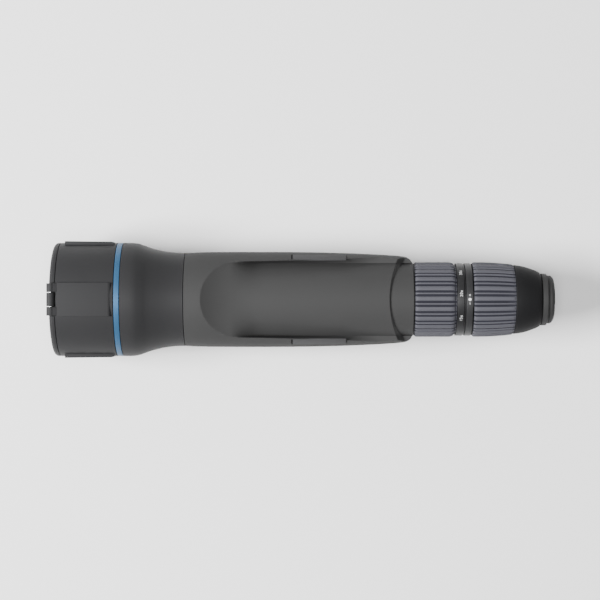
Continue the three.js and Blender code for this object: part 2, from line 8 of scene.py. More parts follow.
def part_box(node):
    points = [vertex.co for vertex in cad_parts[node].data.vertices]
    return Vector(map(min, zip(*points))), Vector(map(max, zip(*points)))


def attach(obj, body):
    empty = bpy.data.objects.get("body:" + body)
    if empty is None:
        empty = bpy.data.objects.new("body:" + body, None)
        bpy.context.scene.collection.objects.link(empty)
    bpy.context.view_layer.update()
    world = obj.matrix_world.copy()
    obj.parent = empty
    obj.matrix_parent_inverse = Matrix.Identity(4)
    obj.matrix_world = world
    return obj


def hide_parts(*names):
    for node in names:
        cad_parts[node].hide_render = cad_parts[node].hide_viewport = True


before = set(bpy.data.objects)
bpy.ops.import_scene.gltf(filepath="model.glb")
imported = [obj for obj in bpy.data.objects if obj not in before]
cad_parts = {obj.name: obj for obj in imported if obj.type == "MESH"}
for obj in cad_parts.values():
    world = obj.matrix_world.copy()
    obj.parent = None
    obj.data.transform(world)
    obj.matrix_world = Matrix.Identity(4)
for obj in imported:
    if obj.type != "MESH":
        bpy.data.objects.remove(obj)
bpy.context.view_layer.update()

# ---------------------------------------------------------------- datum and driving sizes
# The outlines below are in millimetres from the scope's own datum on the optical axis.

MM = 0.001
DATUM_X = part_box("eyepiece_shell")[1].x / MM - 131.7
AXIS_Z = (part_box("accent_ring")[0].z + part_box("accent_ring")[1].z) / 2 / MM

HOOD_RADIUS = 31.15
HOOD_BORE = 28.2
PAD_TOP = 31.84
PAD_HALF = 8.95
HINGE = Vector((-133.1, 0, 30.6))
HINGE_RADIUS = 2.27
PIN_HOLE = 1.05
RING_RADIUS = 19.94
RIB_COUNT = 22
RIB_DEPTH = 0.9
RIB_ROUNDING = 1.25
GRIP_BORE = 18.9
SLEEVE_BORE = 17.2
COLLAR_RADIUS = 20.35
SCOOP_FRONT = -53.9
SCOOP_RAMP = 29.4
SCOOP_END = 48.2
FLOOR_HEIGHT = 20.2
FLOOR_HALF = 19.8
FLOOR_CROWN = 22.4
FLOOR_RISE = 0.016
RAMP_HEIGHT = 5.9
RAMP_STEPS = 60
RIM_START, RIM_HALF, RIM_WIDEN, RIM_FLARE = -34.6, 20.6, 0.012, 0.00023
REAR_BEND, REAR_HALF, REAR_FALL = 5.1, 22.2, 0.95
SHOULDER_HEIGHT = 5.7
GRIP_FRONT, GRIP_REAR, GRIP_WALL = -62.7, 61.55, 2
PANEL_FRONT, PANEL_REAR = -4, 25
PANEL_Y, PANEL_Z, PANEL_TILT, PANEL_WIDTH = 23.05, 11.9, 58, 5.4
FOOT_FRONT, FOOT_REAR, FOOT_SOCKET = -33, 27, -3
FOOT_SCREWS = (-26, 20)
SADDLE_RADIUS = 26.35
RIB_TURN = math.radians(-1.3)
WIDE_RIB = math.radians(3.6)
NARROW_RIB = math.radians(1.6)

MERGE_DISTANCE = 2e-6
ROUGHNESS_SPREAD = 0.08

BODY_OUTLINE = [
    (-96.5, 31.13), (-92, 31.12), (-88.9, 30.75), (-85.8, 29.8), (-82.5, 28.55), (-79, 27.55),
    (-74, 26.45), (-69, 25.8), (-62.7, 25.58), (-54, 25.95), (-41, 26.1), (-14, 26.12),
    (8, 25.93), (30, 25.3), (49.5, 24.31), (56, 23.7), (58.4, 23.2), (60.2, 22.2), (61.2, 20.9),
    (61.55, 19.4),
]


# ---------------------------------------------------------------- mesh helpers

def to_object(name, bm, material, sharp=28):
    """A shaded object from a bmesh in the scope's millimetres, placed in the shared frame."""
    bmesh.ops.remove_doubles(bm, verts=bm.verts, dist=1e-5)
    bmesh.ops.recalc_face_normals(bm, faces=bm.faces)
    mesh = bpy.data.meshes.new(name)
    bm.to_mesh(mesh)
    bm.free()
    mesh.transform(Matrix.Translation((DATUM_X * MM, 0, AXIS_Z * MM)) @ Matrix.Scale(MM, 4))
    piece = bpy.data.objects.new(name, mesh)
    bpy.context.scene.collection.objects.link(piece)
    mesh.materials.append(material)
    shade(piece, sharp)
    return piece


def shade(piece, sharp=28):
    """Smooth shading, with a hard edge wherever two faces meet at more than the given angle."""
    bm = bmesh.new()
    bm.from_mesh(piece.data)
    limit = math.radians(sharp)
    for face in bm.faces:
        face.smooth = True
    for edge in bm.edges:
        edge.smooth = len(edge.link_faces) == 2 and edge.calc_face_angle(0) < limit
    bm.to_mesh(piece.data)
    bm.free()


def smooth_curve(points, steps):
    """Points along a Catmull-Rom curve through the given ones."""
    padded = [points[0], *points, points[-1]]
    result = []
    for i in range(1, len(padded) - 2):
        p0, p1, p2, p3 = (Vector(p) for p in padded[i - 1:i + 3])
        for k in range(steps):
            t = k / steps
            result.append(0.5 * (2 * p1 + (p2 - p0) * t + (2 * p0 - 5 * p1 + 4 * p2 - p3) * t * t
                                 + (3 * p1 - p0 - 3 * p2 + p3) * t ** 3))
    result.append(Vector(points[-1]))
    return [tuple(p) for p in result]


def rounded(points):
    """An outline whose corners (x, radius, fillet) are rounded by their fillet."""
    steps = 4
    result = []
    count = len(points)
    for i, (x, r, *fillet) in enumerate(points):
        corner = Vector((x, r))
        if not fillet or fillet[0] == 0:
            result.append((x, r))
            continue
        before = Vector(points[i - 1][:2]) - corner
        after = Vector(points[(i + 1) % count][:2]) - corner
        reach = min(fillet[0], before.length / 2, after.length / 2)
        start = corner + before.normalized() * reach
        end = corner + after.normalized() * reach
        for k in range(steps + 1):
            t = k / steps
            point = start * (1 - t) ** 2 + corner * 2 * t * (1 - t) + end * t * t
            result.append((point.x, point.y))
    return result


def around(x, radius, angle):
    """The point at a station, a radius and an angle from the top by the right-hand rule about +X."""
    return Vector((x, -radius * math.sin(angle), radius * math.cos(angle)))


def turned_mesh(outline, segments):
    """A turned solid about the optical axis. An outline that leaves the axis is closed."""
    bm = bmesh.new()
    closed = outline[0][1] > 1e-6 or outline[-1][1] > 1e-6
    rings = []
    for x, radius in outline:
        if radius < 1e-6:
            rings.append([bm.verts.new((x, 0, 0))])
        else:
            angles = [2 * math.pi * j / segments for j in range(segments)]
            rings.append([bm.verts.new(around(x, radius, angle)) for angle in angles])
    pairs = list(zip(rings, rings[1:]))
    if closed:
        pairs.append((rings[-1], rings[0]))
    for low, high in pairs:
        for j in range(segments):
            k = (j + 1) % segments
            corners = []
            for vert in (low[j % len(low)], low[k % len(low)], high[k % len(high)], high[j % len(high)]):
                if vert not in corners:
                    corners.append(vert)
            if len(corners) > 2:
                bm.faces.new(corners)
    return bm


def turned(name, outline, material, segments, sharp=28):
    """A turned solid about the optical axis, as a shaded object."""
    return to_object(name, turned_mesh(outline, segments), material, sharp)


def grid_solid(rings):
    """A closed skin over rings of points with the same count."""
    bm = bmesh.new()
    rows = [[bm.verts.new(point) for point in ring] for ring in rings]
    count = len(rows[0])
    for low, high in zip(rows, rows[1:]):
        for j in range(count):
            k = (j + 1) % count
            bm.faces.new((low[j], low[k], high[k], high[j]))
    bm.faces.new(rows[0])
    bm.faces.new(rows[-1])
    return bm


def drawn_along_y(outline, y0, y1, fillet=0.0):
    """An outline of (x, z) points drawn out along Y, with its edges rounded."""
    bm = bmesh.new()
    low = [bm.verts.new((x, y0, z)) for x, z in outline]
    high = [bm.verts.new((x, y1, z)) for x, z in outline]
    bm.faces.new(low)
    bm.faces.new(high)
    for j in range(len(outline)):
        k = (j + 1) % len(outline)
        bm.faces.new((low[j], low[k], high[k], high[j]))
    bmesh.ops.recalc_face_normals(bm, faces=bm.faces)
    if fillet:
        edges = [e for e in bm.edges if e.calc_face_angle(0) > math.radians(25)]
        bmesh.ops.bevel(bm, geom=edges, offset=fillet, segments=3, profile=0.5, affect="EDGES")
    return bm


def rod(start, end, radius, sides=48, fillet=0.0):
    """A round bar between two points, with rounded ends."""
    start, end = Vector(start), Vector(end)
    bm = bmesh.new()
    bmesh.ops.create_cone(bm, cap_ends=True, segments=sides, radius1=radius, radius2=radius,
                          depth=(end - start).length)
    if fillet:
        rims = [e for e in bm.edges if e.calc_face_angle(0) > 1]
        bmesh.ops.bevel(bm, geom=rims, offset=fillet, segments=3, profile=0.5, affect="EDGES")
    turn = (end - start).to_track_quat("Z", "Y").to_matrix().to_4x4()
    bmesh.ops.transform(bm, verts=bm.verts, matrix=Matrix.Translation((start + end) / 2) @ turn)
    return bm


def bored_bar(x, z, y0, y1, radius, bore):
    """A round bar along Y with a hole through it and rounded ends."""
    outline = rounded([(y0, bore), (y0, radius, 0.3), (y1, radius, 0.3), (y1, bore)])
    bm = turned_mesh(outline, 48)
    across = Matrix.Rotation(math.pi / 2, 4, "Z")
    bmesh.ops.transform(bm, verts=bm.verts, matrix=Matrix.Translation((x, 0, z)) @ across)
    return bm


def combine(target, tool_mesh, operation):
    """Joins or cuts a piece by a mesh, and keeps the result as the piece's own mesh.

    Points that the cut leaves almost on each other are merged, and any hole it leaves is filled.
    """
    tool = to_object("tool", tool_mesh, target.data.materials[0])
    change = target.modifiers.new("change", "BOOLEAN")
    change.operation = operation
    change.object = tool
    change.solver = "EXACT"
    bpy.context.view_layer.update()
    result = bpy.data.meshes.new_from_object(target.evaluated_get(bpy.context.evaluated_depsgraph_get()))
    target.modifiers.clear()
    bm = bmesh.new()
    bm.from_mesh(result)
    bmesh.ops.remove_doubles(bm, verts=bm.verts, dist=MERGE_DISTANCE)
    bmesh.ops.dissolve_degenerate(bm, edges=bm.edges, dist=MERGE_DISTANCE / 2)
    bmesh.ops.holes_fill(bm, edges=[edge for edge in bm.edges if edge.is_boundary], sides=0)
    bm.to_mesh(result)
    bm.free()
    target.data = result
    bpy.data.objects.remove(tool)
    shade(target)


def soften(piece, width):
    """Rounds a piece's hard edges by a width in millimetres."""
    bevel = piece.modifiers.new("edges", "BEVEL")
    bevel.width = width * MM
    bevel.segments = 3
    bevel.limit_method = "ANGLE"
    bevel.angle_limit = math.radians(32)
    bevel.use_clamp_overlap = True
    bpy.context.view_layer.update()
    result = bpy.data.meshes.new_from_object(piece.evaluated_get(bpy.context.evaluated_depsgraph_get()))
    piece.modifiers.clear()
    piece.data = result
    shade(piece, 40)


def stands_for(piece, body, slot, *nodes):
    """Puts a piece on a body, in place of the nodes that it shows; its slot is not used."""
    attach(piece, body)
    if nodes:
        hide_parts(*nodes)


# ---------------------------------------------------------------- materials

def linear(red, green, blue):
    """A colour given from 0 to 255, in linear light."""
    def channel(value):
        value /= 255
        return value / 12.92 if value <= 0.04045 else ((value + 0.055) / 1.055) ** 2.4
    return (channel(red), channel(green), channel(blue), 1)


def finish_of(name, colour, roughness, grain, depth, metallic=0.0, vary=0.06, specular=0.5, edge=0.0):
    """A moulded or machined surface: fine grain in the bump, and roughness and colour that vary a little.

    grain is the grain's size and depth its height, both in millimetres. edge is the strength of a painted
    highlight that lightens the colour on sharp convex edges.
    """
    material = bpy.data.materials.new(name)
    material.use_nodes = True
    nodes, links = material.node_tree.nodes, material.node_tree.links
    shader = nodes["Principled BSDF"]
    shader.inputs["Metallic"].default_value = metallic
    shader.inputs["Specular IOR Level"].default_value = specular
    place = nodes.new("ShaderNodeTexCoord")

    fine = nodes.new("ShaderNodeTexNoise")
    fine.inputs["Scale"].default_value = 1 / (grain * MM)
    fine.inputs["Detail"].default_value = 3
    fine.inputs["Roughness"].default_value = 0.6
    links.new(place.outputs["Object"], fine.inputs["Vector"])
    bump = nodes.new("ShaderNodeBump")
    bump.inputs["Distance"].default_value = depth * MM
    bump.inputs["Strength"].default_value = 1
    links.new(fine.outputs["Fac"], bump.inputs["Height"])
    links.new(bump.outputs["Normal"], shader.inputs["Normal"])

    broad = nodes.new("ShaderNodeTexNoise")
    broad.inputs["Scale"].default_value = 60
    broad.inputs["Detail"].default_value = 6
    links.new(place.outputs["Object"], broad.inputs["Vector"])
    rough = nodes.new("ShaderNodeMapRange")
    rough.inputs["To Min"].default_value = max(0.05, roughness - ROUGHNESS_SPREAD)
    rough.inputs["To Max"].default_value = min(1, roughness + ROUGHNESS_SPREAD)
    links.new(broad.outputs["Fac"], rough.inputs["Value"])
    links.new(rough.outputs["Result"], shader.inputs["Roughness"])

    tone = nodes.new("ShaderNodeMix")
    tone.data_type = "RGBA"
    tone.inputs["A"].default_value = tuple(c * (1 - vary) for c in colour[:3]) + (1,)
    tone.inputs["B"].default_value = tuple(min(1, c * (1 + vary)) for c in colour[:3]) + (1,)
    links.new(broad.outputs["Fac"], tone.inputs["Factor"])
    colour_out = tone.outputs["Result"]
    # Painted highlight: the colour is lightened where the surface turns sharply (pointiness), for the light
    # that edges catch.
    if edge:
        geometry = nodes.new("ShaderNodeNewGeometry")
        edge_highlight_share = nodes.new("ShaderNodeMapRange")
        edge_highlight_share.inputs["From Min"].default_value = 0.54
        edge_highlight_share.inputs["From Max"].default_value = 0.64
        edge_highlight_share.inputs["To Max"].default_value = edge
        links.new(geometry.outputs["Pointiness"], edge_highlight_share.inputs["Value"])
        painted_edge_highlight = nodes.new("ShaderNodeMix")
        painted_edge_highlight.data_type = "RGBA"
        painted_edge_highlight.inputs["B"].default_value = tuple(min(1, c * 2.2 + 0.02) for c in colour[:3]) + (1,)
        links.new(edge_highlight_share.outputs["Result"], painted_edge_highlight.inputs["Factor"])
        links.new(colour_out, painted_edge_highlight.inputs["A"])
        colour_out = painted_edge_highlight.outputs["Result"]
    links.new(colour_out, shader.inputs["Base Color"])
    return material


def coated_glass(name, tint):
    """Lens glass with a coloured coating that shows at a slant."""
    material = bpy.data.materials.new(name)
    material.use_nodes = True
    nodes, links = material.node_tree.nodes, material.node_tree.links
    shader = nodes["Principled BSDF"]
    shader.inputs["Transmission Weight"].default_value = 0.9
    shader.inputs["IOR"].default_value = 1.52
    shader.inputs["Coat Weight"].default_value = 0.6
    shader.inputs["Coat Roughness"].default_value = 0.02
    place = nodes.new("ShaderNodeTexCoord")
    haze = nodes.new("ShaderNodeTexNoise")
    haze.inputs["Scale"].default_value = 90
    haze.inputs["Detail"].default_value = 4
    links.new(place.outputs["Object"], haze.inputs["Vector"])
    rough = nodes.new("ShaderNodeMapRange")
    rough.inputs["To Min"].default_value = 0.01
    rough.inputs["To Max"].default_value = 0.05
    links.new(haze.outputs["Fac"], rough.inputs["Value"])
    links.new(rough.outputs["Result"], shader.inputs["Roughness"])
    facing = nodes.new("ShaderNodeLayerWeight")
    facing.inputs["Blend"].default_value = 0.35
    coating = nodes.new("ShaderNodeMix")
    coating.data_type = "RGBA"
    coating.inputs["A"].default_value = tint
    coating.inputs["B"].default_value = (0.45, 0.35, 0.7, 1)
    links.new(facing.outputs["Facing"], coating.inputs["Factor"])
    links.new(coating.outputs["Result"], shader.inputs["Base Color"])
    return material


def turned_metal(name, colour, roughness):
    """Machined metal with fine turning marks."""
    material = finish_of(name, colour, roughness, metallic=1.0, grain=0.12, depth=0.004, vary=0.1)
    nodes, links = material.node_tree.nodes, material.node_tree.links
    shader = nodes["Principled BSDF"]
    shader.inputs["Anisotropic"].default_value = 0.4
    marks = nodes.new("ShaderNodeTexWave")
    marks.bands_direction = "X"
    marks.inputs["Scale"].default_value = 900
    marks.inputs["Distortion"].default_value = 1.5
    place = nodes.new("ShaderNodeTexCoord")
    links.new(place.outputs["Object"], marks.inputs["Vector"])
    bump = next(node for node in nodes if node.type == "BUMP")
    second = nodes.new("ShaderNodeBump")
    second.inputs["Distance"].default_value = 0.003 * MM
    links.new(marks.outputs["Fac"], second.inputs["Height"])
    links.new(bump.outputs["Normal"], second.inputs["Normal"])
    links.new(second.outputs["Normal"], shader.inputs["Normal"])
    return material


# The edge values below set the painted highlight on each material's sharp edges.
HOOD_PLASTIC = finish_of("hood_plastic", linear(41, 41, 42), 0.55, grain=0.22, depth=0.012,
                         specular=0.1, edge=0.15)
BODY_RUBBER = finish_of("body_rubber", linear(52, 52, 52), 0.7, grain=0.28, depth=0.02,
                        specular=0.12, edge=0.12)
COLLAR_RUBBER = finish_of("collar_coating", linear(52, 52, 52), 0.65, grain=0.22, depth=0.014,
                          specular=0.12)
BLUE_METAL = finish_of("blue_anodised", linear(48, 84, 116), 0.45, metallic=0.3, grain=0.1, depth=0.004,
                       specular=0.2)
RIB_RUBBER = finish_of("ribbed_rubber", linear(70, 70, 76), 0.62, grain=0.2, depth=0.016,
                       specular=0.2, edge=0.3)
# Painted shade: a darker copy of the ribbed rubber, laid on the faces in the grooves between the ribs.
GROOVE_PAINTED_SHADE = finish_of("groove_painted_shade", linear(36, 36, 43), 0.7, grain=0.2, depth=0.016, specular=0.1)
RING_METAL = finish_of("ring_metal", linear(37, 37, 38), 0.45, metallic=0.2, grain=0.12, depth=0.006,
                       specular=0.2, edge=0.3)
INDEX_METAL = finish_of("index_metal", linear(44, 44, 45), 0.45, metallic=0.2, grain=0.12, depth=0.006,
                        specular=0.2, edge=0.3)
EYE_BLACK = finish_of("eyepiece_black", linear(27, 27, 28), 0.6, grain=0.14, depth=0.006,
                      specular=0.08, edge=0.2)
CUP_RUBBER = finish_of("eyecup_rubber", linear(47, 47, 47), 0.65, grain=0.25, depth=0.018, specular=0.15)
DARK_METAL = turned_metal("black_anodised", (0.03, 0.03, 0.032, 1), 0.42)
STEEL = turned_metal("bright_steel", (0.5, 0.5, 0.52, 1), 0.28)
BRASS = turned_metal("machined_brass", (0.62, 0.46, 0.2, 1), 0.3)
SEAL = finish_of("seal_rubber", (0.012, 0.012, 0.012, 1), 0.8, grain=0.3, depth=0.03)
LABEL = finish_of("panel_plate", linear(56, 56, 57), 0.6, grain=0.15, depth=0.01, specular=0.15)
INK = finish_of("white_ink", (0.7, 0.7, 0.7, 1), 0.55, grain=0.1, depth=0.004, vary=0.03)
GLASS = coated_glass("coated_glass", (0.55, 0.85, 0.7, 1))


# ---------------------------------------------------------------- camera, lights and floor

def camera_at_the_top():
    """Straight above the scope, a little over a metre from its axis."""
    half_view = 165.0
    distance = 1017.5
    data = bpy.data.cameras.new("camera")
    data.sensor_width = 36
    data.lens = 18 * distance / half_view
    data.clip_end = 50
    camera = bpy.data.objects.new("camera", data)
    camera.location = (DATUM_X * MM, -0.0003, (AXIS_Z + distance) * MM)
    bpy.context.scene.collection.objects.link(camera)
    bpy.context.scene.camera = camera


def soft_light(name, place, target, size, power, stretch=1.0):
    """A rectangular lamp aimed at a point."""
    data = bpy.data.lights.new(name, "AREA")
    data.shape = "RECTANGLE"
    data.size = size
    data.size_y = size * stretch
    data.energy = power
    light = bpy.data.objects.new(name, data)
    light.location = place
    aim = Vector(target) - Vector(place)
    light.rotation_euler = aim.to_track_quat("-Z", "Y").to_euler()
    bpy.context.scene.collection.objects.link(light)


def pale_floor():
    """The plain floor that the scope stands on."""
    bm = bmesh.new()
    bmesh.ops.create_grid(bm, x_segments=2, y_segments=2, size=4)
    mesh = bpy.data.meshes.new("floor")
    bm.to_mesh(mesh)
    bm.free()
    floor = bpy.data.objects.new("floor", mesh)
    material = bpy.data.materials.new("floor_paper")
    material.use_nodes = True
    shader = material.node_tree.nodes["Principled BSDF"]
    shader.inputs["Base Color"].default_value = (0.93, 0.93, 0.93, 1)
    shader.inputs["Roughness"].default_value = 0.9
    shader.inputs["Specular IOR Level"].default_value = 0.1
    mesh.materials.append(material)
    bpy.context.scene.collection.objects.link(floor)


def studio():
    """A main lamp beyond the objective, one overhead, a weak one at the side, and a pale sky."""
    soft_light("key", (-1.3, -0.1, 1.25), (0, 0, 0.03), 0.7, 88)
    soft_light("overhead", (0.0, -0.08, 1.9), (0, 0, 0), 0.7, 30)
    soft_light("back", (-0.2, 1.5, 1.0), (0, 0, 0.04), 1.0, 3, 0.5)
    world = bpy.data.worlds.new("studio")
    world.use_nodes = True
    world.node_tree.nodes["Background"].inputs["Color"].default_value = (1, 1, 1, 1)
    world.node_tree.nodes["Background"].inputs["Strength"].default_value = 0.14
    bpy.context.scene.world = world
    pale_floor()


# ---------------------------------------------------------------- hood and cover

def hood():
    """The sunshade with its four pads, cleared for the cover's knuckle."""
    outline = rounded([
        (-130.9, HOOD_BORE, 0.2), (-130.9, HOOD_RADIUS - 0.02, 0.25), (-99.9, HOOD_RADIUS - 0.02, 0.25),
        (-99.9, HOOD_BORE, 0.2),
    ])
    piece = turned("hood_shell", outline, HOOD_PLASTIC, 192)
    side_view = [
        (-102.9, PAD_TOP - 0.3), (-102, PAD_TOP - 0.5), (-101.4, PAD_TOP - 0.85), (-101, PAD_TOP - 1.4),
        (-100.9, 28.9),
    ]
    for quarter in range(4):
        front = -128.2 if quarter else -129.8
        start = [(front, 28.9), (front, PAD_TOP - 0.25), (front + 0.3, PAD_TOP)]
        pad = drawn_along_y(start + side_view, -PAD_HALF, PAD_HALF)
        bmesh.ops.rotate(pad, verts=pad.verts, matrix=Matrix.Rotation(quarter * math.pi / 2, 3, "X"))
        combine(piece, pad, "UNION")
    clear = rod((HINGE.x, -3.9, HINGE.z), (HINGE.x, 3.9, HINGE.z), HINGE_RADIUS + 0.35)
    combine(piece, clear, "DIFFERENCE")
    soften(piece, 0.16)
    return piece


def hinge_lug(name, y0, y1):
    """A knuckle with a web that runs back to the hood, bored for the pin."""
    low, high = (HINGE.x, y0, HINGE.z), (HINGE.x, y1, HINGE.z)
    piece = to_object(name, rod(low, high, HINGE_RADIUS, fillet=0.35), HOOD_PLASTIC)
    side_view = [
        (HINGE.x, HINGE.z - HINGE_RADIUS + 0.05), (-129.3, HINGE.z - HINGE_RADIUS + 0.05),
        (-129.0, PAD_TOP - 0.1), (-130.4, PAD_TOP + 0.1), (HINGE.x + 1.2, HINGE.z + 1.9),
    ]
    combine(piece, drawn_along_y(side_view, y0 + 0.15, y1 - 0.15, fillet=0.15), "UNION")
    hole = rod((HINGE.x, y0 - 1, HINGE.z), (HINGE.x, y1 + 1, HINGE.z), PIN_HOLE, sides=32)
    combine(piece, hole, "DIFFERENCE")
    return piece


def cover():
    """The hinged cover of the objective, with its web and knuckle."""
    outline = rounded([
        (-134.3, 0), (-134.3, 20.5, 0.3), (-134.05, 21.2, 0.3), (-134.05, 27.6, 0.4), (-134.3, 28.2, 0.3),
        (-134.3, HOOD_RADIUS - 1.2, 1.2), (-133.0, HOOD_RADIUS - 0.02, 1.2),
        (-131.2, HOOD_RADIUS - 0.02, 0.2), (-131.2, 27.4), (-128.6, 27.4, 0.5), (-128.6, 25.8, 0.4),
        (-131.2, 25.8), (-131.2, 0),
    ])
    piece = turned("cover_shell", outline, HOOD_PLASTIC, 192)
    notch = drawn_along_y([(-136.5, 27.2), (-131.1, 27.2), (-131.1, 35), (-136.5, 35)], -9.15, 9.15)
    combine(piece, notch, "DIFFERENCE")
    side_view = [(-134.25, 25.6), (-131.55, 25.6), (-131.75, 29.25), (-134.4, 29.25)]
    combine(piece, drawn_along_y(side_view, -3.5, 3.5, fillet=0.2), "UNION")
    combine(piece, bored_bar(HINGE.x, HINGE.z, -3.6, 3.6, HINGE_RADIUS, PIN_HOLE), "UNION")
    return piece


def front_end():
    """The hood, the hinge, the cover and the accent ring."""
    stands_for(hood(), "scope_body", "hood_shell", "objective_hood")
    stands_for(hinge_lug("hinge_lug_left", 3.95, 8.65), "scope_body", "hood_shell")
    stands_for(hinge_lug("hinge_lug_right", -8.65, -3.95), "scope_body", "hood_shell")
    pin = rod((HINGE.x, -8.35, HINGE.z), (HINGE.x, 8.35, HINGE.z), 0.8, sides=32, fillet=0.15)
    stands_for(to_object("hinge_pin_bar", pin, STEEL), "scope_body", "bright_steel", "hinge_pin")
    stands_for(cover(), "cover", "hood_shell", "lens_cover")
    liner = rounded([(-130.9, 0), (-130.9, 25.5, 0.2), (-129.9, 25.5, 0.4), (-129.9, 0)])
    stands_for(turned("cover_foam", liner, SEAL, 96), "cover", "seal_rubber", "cover_liner")
    ring = rounded([(-99.6, 28.2), (-99.6, 31.13, 0.18), (-96.8, 31.13, 0.18), (-96.8, 28.2)])
    stands_for(turned("accent_band", ring, BLUE_METAL, 192), "scope_body", "accent", "accent_ring")


# ---------------------------------------------------------------- body

def body_radius(x):
    """The body's radius at a station, before the scoop is cut."""
    for (x0, r0), (x1, r1) in zip(BODY_OUTLINE, BODY_OUTLINE[1:]):
        if x <= x1:
            return r0 + (r1 - r0) * (x - x0) / (x1 - x0)
    return BODY_OUTLINE[-1][1]


def smoothstep(value, low, high):
    """An eased step from 0 to 1 between two values."""
    t = min(1, max(0, (value - low) / (high - low)))
    return t * t * (3 - 2 * t)


def rim_half(x):
    """Half the distance between the tops of the scoop's two walls."""
    past = x - RIM_START
    return RIM_HALF + RIM_WIDEN * past + RIM_FLARE * past * abs(past)


def scoop_height(x, y, offset):
    """A ramp that eases onto a crowned floor, with a wall on each side when the offset is 0."""
    along = min(1, max(0, (x - SCOOP_FRONT) / SCOOP_RAMP))
    ramp = RAMP_HEIGHT * (1 - along) ** 2.4
    rise = max(0, x - SCOOP_FRONT - SCOOP_RAMP) * FLOOR_RISE
    crown = 0.36 + 0.64 * smoothstep(x, -38, -20)
    radius = FLOOR_CROWN - offset
    side = abs(y)
    across = min(side, FLOOR_HALF, radius)
    sag = (radius - math.sqrt(radius ** 2 - across ** 2)) * crown
    floor = FLOOR_HEIGHT - offset + ramp + rise - sag
    if offset > 0 or side <= FLOOR_HALF:
        return floor
    rim = math.sqrt(max(0, body_radius(x) ** 2 - rim_half(x) ** 2))
    share = min(1, max(0, (side - FLOOR_HALF) / (rim_half(x) - FLOOR_HALF)))
    return floor + max(0, rim - floor) * share


def rear_bend(y):
    """How far the scoop's rear end lies behind its middle."""
    return REAR_BEND * min(1, abs(y) / REAR_HALF) ** 2


def top_of_body(x, y, offset):
    """The scooped surface, which falls to the shoulder's height behind the scoop's rear end."""
    end = SCOOP_END + rear_bend(y)
    if x <= end:
        return scoop_height(x, y, offset)
    return max(SHOULDER_HEIGHT - offset, scoop_height(end, y, offset) - (x - end) * REAR_FALL)


def scoop_cutter(offset=0):
    """Everything above the scooped surface, lowered by an offset."""
    xs = [SCOOP_FRONT + SCOOP_RAMP * i / RAMP_STEPS for i in range(RAMP_STEPS + 1)]
    flat = xs[-1]
    xs += [flat + (SCOOP_END - flat) * i / 24 for i in range(1, 25)]
    last = 68
    xs += [SCOOP_END + 0.35 * i for i in range(1, 27)] + [last]
    reach = min(FLOOR_HALF, FLOOR_CROWN - offset - 0.02)
    lid = 40
    rings = []
    for x in xs:
        half = [reach * math.sin(math.pi / 2 * i / 26) for i in range(1, 27)]
        wall = rim_half(min(x, 56)) if offset == 0 else reach + 1
        half += [reach + (wall - reach) * i / 3 for i in range(1, 4)] + [31]
        ys = [-y for y in reversed(half)] + [0] + half
        surface = []
        for y in ys:
            bent = x + rear_bend(y) * (SCOOP_END <= x < last)
            surface.append(Vector((bent, y, top_of_body(bent, y, offset))))
        rings.append([Vector((x, ys[0], lid)), *surface, Vector((x, ys[-1], lid))])
    return grid_solid(rings)


def body_solid(name, offset=0, stretch=0):
    """The grip's outer form as a solid, shrunk by an offset and stretched at both ends."""
    front, rear = GRIP_FRONT, GRIP_REAR
    outline = [(x, r - offset) for x, r in smooth_curve(BODY_OUTLINE, 8) if front < x < rear]
    ends = [(front - stretch, body_radius(front) - offset), (rear + stretch, body_radius(rear) - offset)]
    whole = [(ends[0][0], 0), ends[0], *outline, ends[1], (ends[1][0], 0)]
    return turned(name, whole, BODY_RUBBER, 224)


def pocket_mesh(side, grow):
    """The flat-bottomed pocket in the body's shoulder, or the plate that lies in it."""
    half = PANEL_WIDTH / 2 + grow
    top = 6 if grow > 0 else -0.1
    slope = 3.2 if grow > 0 else 0
    low = -0.7 - grow
    corners = [(PANEL_FRONT - grow, low), (PANEL_REAR + grow, low), (PANEL_REAR + grow + slope, top),
               (PANEL_FRONT - grow - slope, top)]
    bm = drawn_along_y(corners, -half, half, 0 if grow > 0 else 0.12)
    turn = Matrix.Rotation(math.radians(-PANEL_TILT * side), 4, "X")
    place = Matrix.Translation((0, PANEL_Y * side, PANEL_Z))
    bmesh.ops.transform(bm, verts=bm.verts, matrix=place @ turn)
    return bm


def grip():
    """The rubber skin: scooped, hollow, bored for the collar, with a pocket on each side."""
    piece = body_solid("grip_skin")
    combine(piece, scoop_cutter(), "DIFFERENCE")
    core = body_solid("core", GRIP_WALL, 3)
    combine(core, scoop_cutter(GRIP_WALL), "DIFFERENCE")
    tool = bmesh.new()
    tool.from_mesh(core.data)
    back_to_datum = Matrix.Scale(1 / MM, 4) @ Matrix.Translation((-DATUM_X * MM, 0, -AXIS_Z * MM))
    bmesh.ops.transform(tool, verts=tool.verts, matrix=back_to_datum)
    bpy.data.objects.remove(core)
    combine(piece, tool, "DIFFERENCE")
    bore = COLLAR_RADIUS + 0.3
    combine(piece, turned_mesh([(42.53, 0), (42.53, bore), (70, bore), (70, 0)], 180), "DIFFERENCE")
    for side in (-1, 1):
        combine(piece, pocket_mesh(side, 0.3), "DIFFERENCE")
    return piece


def bell():
    """The shell that widens from the grip to the accent ring."""
    outline = [point for point in smooth_curve(BODY_OUTLINE, 10) if -96.5 < point[0] < -63.0]
    outer = [(-96.5, body_radius(-96.5) - 0.15), (-96.35, body_radius(-96.5)), *outline[1:],
             (-63.1, body_radius(-63)), (-63.0, body_radius(-63) - 0.12)]
    inner = [(x, r - 2) for x, r in reversed(outer)]
    return turned("bell_shell", outer + inner, HOOD_PLASTIC, 192)


